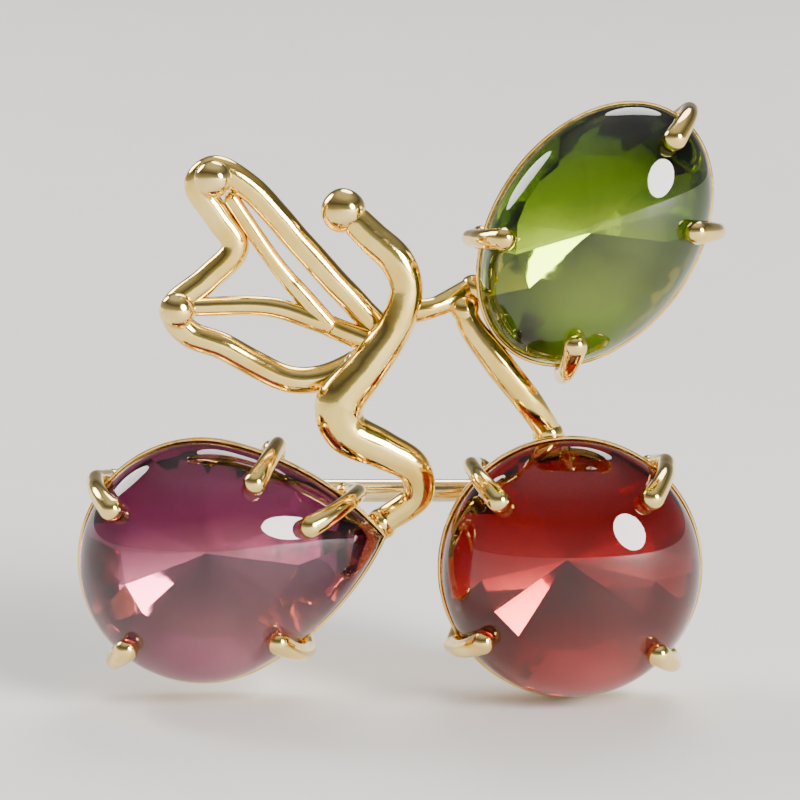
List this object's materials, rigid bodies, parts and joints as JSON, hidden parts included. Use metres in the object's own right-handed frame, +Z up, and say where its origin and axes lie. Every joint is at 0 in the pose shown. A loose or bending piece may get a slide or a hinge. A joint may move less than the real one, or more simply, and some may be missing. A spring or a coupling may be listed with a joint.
{
  "type": "brooch",
  "caption": "Small fruit sprig brooch: domed fruit and leaf stones in claw cups, an openwork wire leaf, curved stem wires, and a hinged pin with a roll-over safety catch.",
  "frame": {"origin": "On the axis of the closed pin stem, midway between the hinge rivet and the middle of the catch.", "axes": "The brooch stands upright as worn. -Y is the front that faces the viewer, +Y is the back that lies on the cloth, +X is to the viewer's right, +Z is up."},
  "size_m": [0.0198, 0.0082, 0.0183],
  "materials": {
    "gold_cast": "polished gold plate on cast base metal",
    "gold_wire": "bright polished gold plated wire",
    "pin_steel": "pale gold plated hard wire, polished",
    "amethyst": "polished purple glass, foiled back",
    "garnet": "polished dark red glass, foiled back",
    "peridot": "polished deep green glass, foiled back"
  },
  "bodies": {
    "brooch": {"pear_cup": "gold_cast", "round_cup": "gold_cast", "oval_cup": "gold_cast", "pear_stone": "amethyst", "round_stone": "garnet", "oval_stone": "peridot", "pear_claw_1": "gold_wire", "pear_claw_2": "gold_wire", "pear_claw_3": "gold_wire", "pear_claw_4": "gold_wire", "pear_claw_5": "gold_wire", "round_claw_1": "gold_wire", "round_claw_2": "gold_wire", "round_claw_3": "gold_wire", "round_claw_4": "gold_wire", "oval_claw_1": "gold_wire", "oval_claw_2": "gold_wire", "oval_claw_3": "gold_wire", "oval_claw_4": "gold_wire", "leaf_edge": "gold_wire", "leaf_midrib": "gold_wire", "leaf_vein": "gold_wire", "leaf_bead_tip": "gold_wire", "leaf_bead_side": "gold_wire", "branch_bead": "gold_wire", "branch": "gold_wire", "stem_round": "gold_wire", "stem_oval": "gold_wire", "hinge_rivet": "gold_wire", "hinge_bracket": "gold_cast", "catch_housing": "gold_cast"},
    "pin": {"pin_stem": "pin_steel"},
    "catch": {"catch_barrel": "gold_wire"}
  },
  "joints": [
    {"name": "pin_hinge", "type": "hinge", "parent": "brooch", "child": "pin", "pos_m": [-0.0055, 0, 0], "axis": [0, 0, 1], "range_deg": [0, 100]},
    {"name": "catch_turn", "type": "hinge", "parent": "brooch", "child": "catch", "pos_m": [0.0055, 0, 0], "axis": [1, 0, 0], "range_deg": [0, 106]}
  ]
}
